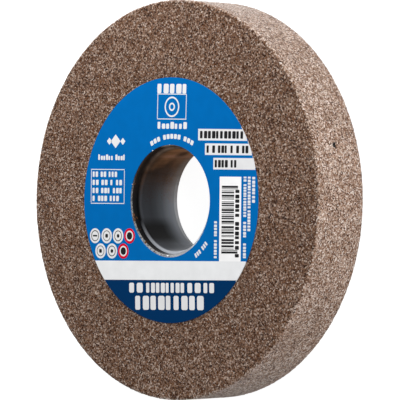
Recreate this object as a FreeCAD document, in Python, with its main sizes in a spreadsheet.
import FreeCAD, Part
import os

import Sketcher

# Bench grinding wheel, lying flat on its back face. Millimetres, +Z up along the bore axis.
# The origin is on the bore axis, at the surface that the wheel lies on.
# The printed side faces up, and +Y is the top of the print.

os.makedirs("parts", exist_ok=True)
doc = FreeCAD.newDocument("GrindingWheel")

drivingSizes = (
    ("wheelDiameter", 125.0, "outside of the abrasive"),
    ("wheelWidth", 20.0, "face to face"),
    ("rimBreak", 0.38, "chamfer that takes the sharp edge off the rim"),
    ("boreDiameter", 32.0, "bore of the bush, for the grinder's arbor"),
    ("bushWall", 2.5, "wall of the bush along its straight bore"),
    ("cementFilm", 0.05, "radial film of cement between bush and abrasive"),
    ("mouthStep", 1.0, "how far each mouth of the bush is wider than its bore, on the radius"),
    ("mouthDepth", 2.0, "depth of each wide mouth"),
    ("mouthBreak", 0.1, "chamfer at the outer edge of each mouth"),
    ("lipRadius", 0.85, "rounding from the floor of each mouth into the bore"),
    ("blotterThickness", 0.25, "paper disc on each face"),
    ("blotterDiameter", 76.8, "outside of both paper discs"),
    ("blotterMargin", 0.62, "bare end of the bush inside the paper's hole, on the radius"),
    ("frontShiftAcross", -0.69, "the front paper is glued this far off centre, along X"),
    ("frontShiftUp", -0.11, "and this far along Y"),
    ("frontHoleShiftAcross", -0.33, "centre of the front paper's hole, along X"),
    ("frontHoleShiftUp", -0.4, "and along Y"),
)
sheet = doc.addObject("Spreadsheet::Sheet", "Sizes")
for row, (alias, value, note) in enumerate(drivingSizes, start=1):
    sheet.set(f"A{row}", alias)
    sheet.set(f"B{row}", str(value))
    sheet.set(f"C{row}", note)
    sheet.setAlias(f"B{row}", alias)
doc.recompute()

wheelRadius = "Sizes.wheelDiameter / 2"
boreRadius = "Sizes.boreDiameter / 2"
bushRadius = f"{boreRadius} + Sizes.bushWall"
mouthRadius = f"{boreRadius} + Sizes.mouthStep"
blotterHole = f"2 * ({mouthRadius} + Sizes.blotterMargin)"
halfWidth = "Sizes.wheelWidth / 2"
mouthFloor = f"{halfWidth} - Sizes.mouthDepth"
wheelMiddle = f"Sizes.blotterThickness + {halfWidth}"


class Spot:
    """How a sketch numbers the points of a line or circle, and its own origin."""

    start, end, centre = 1, 2, 3
    origin = (-1, 1)


def new_body(label):
    """A piece of the wheel, whose label is also its file name."""
    body = doc.addObject("PartDesign::Body", label)
    body.Label = label
    return body


def sketch_on(body, plane, name):
    """An empty sketch on one of the body's own origin planes."""
    sketch = body.newObject("Sketcher::SketchObject", name)
    origin_plane = next(item for item in body.Origin.OriginFeatures if item.Role == plane)
    sketch.AttachmentSupport = [(origin_plane, "")]
    sketch.MapMode = "FlatFace"
    return sketch


def bind_constraint(sketch, kind, places, name, formula):
    """A named dimension of a sketch that follows the sheet."""
    start_value = sketch.evalExpression(formula)
    index = sketch.addConstraint(Sketcher.Constraint(kind, *places, float(start_value)))
    sketch.renameConstraint(index, name)
    sketch.setExpression(f"Constraints.{name}", formula)


def rectangle(sketch, inner, outer, low, high):
    """A closed rectangle. Inner and outer are its distances from the axis, low and high its heights."""
    corners = [
        FreeCAD.Vector(float(sketch.evalExpression(across)), float(sketch.evalExpression(up)), 0)
        for across, up in ((inner, low), (outer, low), (outer, high), (inner, high))
    ]
    bottom, outside, top, inside = (
        sketch.addGeometry(Part.LineSegment(corners[side], corners[(side + 1) % 4])) for side in range(4)
    )
    for first, second in ((bottom, outside), (outside, top), (top, inside), (inside, bottom)):
        sketch.addConstraint(Sketcher.Constraint("Coincident", first, Spot.end, second, Spot.start))
    for level in (bottom, top):
        sketch.addConstraint(Sketcher.Constraint("Horizontal", level))
    for upright in (outside, inside):
        sketch.addConstraint(Sketcher.Constraint("Vertical", upright))
    bind_constraint(sketch, "DistanceX", (*Spot.origin, bottom, Spot.start), "inner", inner)
    bind_constraint(sketch, "DistanceX", (*Spot.origin, bottom, Spot.end), "outer", outer)
    bind_constraint(sketch, "DistanceY", (*Spot.origin, bottom, Spot.start), "low", low)
    bind_constraint(sketch, "DistanceY", (*Spot.origin, top, Spot.start), "high", high)


def turned(body, kind, section, name):
    """A full turn of a section about the bore axis, as a Revolution or a Groove."""
    feature = body.newObject(f"PartDesign::{kind}", name)
    feature.Profile = section
    feature.ReferenceAxis = (section, ["V_Axis"])
    feature.Angle = 360
    doc.recompute()
    return feature


def round_edges(shape, radius, height):
    """Names of the two circles of one radius that lie at one height above and below the middle."""
    names = []
    for number, edge in enumerate(shape.Edges, start=1):
        if not isinstance(edge.Curve, Part.Circle):
            continue
        off_radius = abs(edge.Curve.Radius - radius)
        off_height = abs(abs(edge.Curve.Center.z) - height)
        if max(off_radius, off_height) < FreeCAD.Base.Precision.confusion():
            names.append(f"Edge{number}")
    if len(names) != 2:
        raise RuntimeError(f"{len(names)} edges found at radius {radius} and height {height}")
    return names


def dress_edges(body, kind, base, radius, height, size_name, formula, name):
    """A Chamfer or a Fillet on the same round edge at both ends of a piece."""
    radius_now = float(body.evalExpression(radius))
    height_now = float(body.evalExpression(height))
    feature = body.newObject(f"PartDesign::{kind}", name)
    feature.Base = (base, round_edges(base.Shape, radius_now, height_now))
    feature.setExpression(size_name, formula)
    doc.recompute()
    return feature


def make_abrasive():
    """The bonded disc, with a hole for the bush."""
    body = new_body("abrasive_wheel")
    section = sketch_on(body, "XZ_Plane", "WheelSection")
    rectangle(
        section,
        inner=f"{bushRadius} + Sizes.cementFilm",
        outer=wheelRadius,
        low=f"-{halfWidth}",
        high=halfWidth,
    )
    disc = turned(body, "Revolution", section, "Disc")
    dress_edges(body, "Chamfer", disc, wheelRadius, halfWidth, "Size", "Sizes.rimBreak", "RimBreaks")
    body.setExpression("Placement.Base.z", wheelMiddle)
    return body


def make_bush():
    """The moulded bush: a tube with the same wide mouth and rounded lip at both ends."""
    body = new_body("bore_bush")
    section = sketch_on(body, "XZ_Plane", "BushSection")
    rectangle(
        section,
        inner=boreRadius,
        outer=bushRadius,
        low=f"-{halfWidth}",
        high=halfWidth,
    )
    tube = turned(body, "Revolution", section, "Tube")

    mouth_section = sketch_on(body, "XZ_Plane", "MouthSection")
    rectangle(
        mouth_section,
        inner=boreRadius,
        outer=mouthRadius,
        low=mouthFloor,
        high=halfWidth,
    )
    front_mouth = turned(body, "Groove", mouth_section, "FrontMouth")

    both_mouths = body.newObject("PartDesign::Mirrored", "BothMouths")
    both_mouths.Originals = [front_mouth]
    middle_plane = next(item for item in body.Origin.OriginFeatures if item.Role == "XY_Plane")
    both_mouths.MirrorPlane = (middle_plane, [""])
    body.Tip = both_mouths
    doc.recompute()

    volumes = [feature.Shape.Volume for feature in (tube, front_mouth, both_mouths)]
    if not volumes[0] > volumes[1] > volumes[2]:
        raise RuntimeError("a mouth of the bush cut nothing")

    lips = dress_edges(
        body, "Fillet", both_mouths, boreRadius, mouthFloor, "Radius", "Sizes.lipRadius", "Lips"
    )
    dress_edges(body, "Chamfer", lips, mouthRadius, halfWidth, "Size", "Sizes.mouthBreak", "MouthBreaks")
    body.setExpression("Placement.Base.z", wheelMiddle)
    return body


def make_blotter(label, shift_across, shift_up, hole_across, hole_up, height):
    """A paper disc with a round hole, which may lie off the disc's centre."""
    body = new_body(label)
    outline = sketch_on(body, "XY_Plane", f"{label}_outline")
    circles = (
        ("Disc", "Sizes.blotterDiameter", shift_across, shift_up),
        ("Hole", blotterHole, hole_across, hole_up),
    )
    for name, diameter, across, up in circles:
        centre = FreeCAD.Vector(float(outline.evalExpression(across)), float(outline.evalExpression(up)), 0)
        radius = float(outline.evalExpression(diameter)) / 2
        circle = outline.addGeometry(Part.Circle(centre, FreeCAD.Vector(0, 0, 1), radius))
        bind_constraint(outline, "Diameter", (circle,), f"diameter{name}", diameter)
        bind_constraint(outline, "DistanceX", (*Spot.origin, circle, Spot.centre), f"across{name}", across)
        bind_constraint(outline, "DistanceY", (*Spot.origin, circle, Spot.centre), f"up{name}", up)
    paper = body.newObject("PartDesign::Pad", f"{label}_paper")
    paper.Profile = outline
    paper.setExpression("Length", "Sizes.blotterThickness")
    if height:
        body.setExpression("Placement.Base.z", height)
    doc.recompute()
    return body


pieces = [
    make_abrasive(),
    make_bush(),
    make_blotter(
        "front_blotter",
        shift_across="Sizes.frontShiftAcross",
        shift_up="Sizes.frontShiftUp",
        hole_across="Sizes.frontHoleShiftAcross",
        hole_up="Sizes.frontHoleShiftUp",
        height="Sizes.blotterThickness + Sizes.wheelWidth",
    ),
    make_blotter("back_blotter", shift_across="0", shift_up="0", hole_across="0", hole_up="0", height=None),
]
doc.recompute()

for item in doc.Objects:
    if {"Invalid", "Error"} & set(item.State):
        raise RuntimeError(f"{item.Label} could not be worked out")

for piece in pieces:
    shape = piece.Shape
    if shape.isNull() or not shape.isValid() or len(shape.Solids) != 1:
        raise RuntimeError(f"{piece.Label} is not one good solid")

for piece in pieces:
    piece.Shape.exportStep(f"parts/{piece.Label}.step")
    box = piece.Shape.BoundBox
    print(f"{piece.Label}: {piece.Shape.Volume:.1f} mm3, z {box.ZMin:.2f} to {box.ZMax:.2f}")
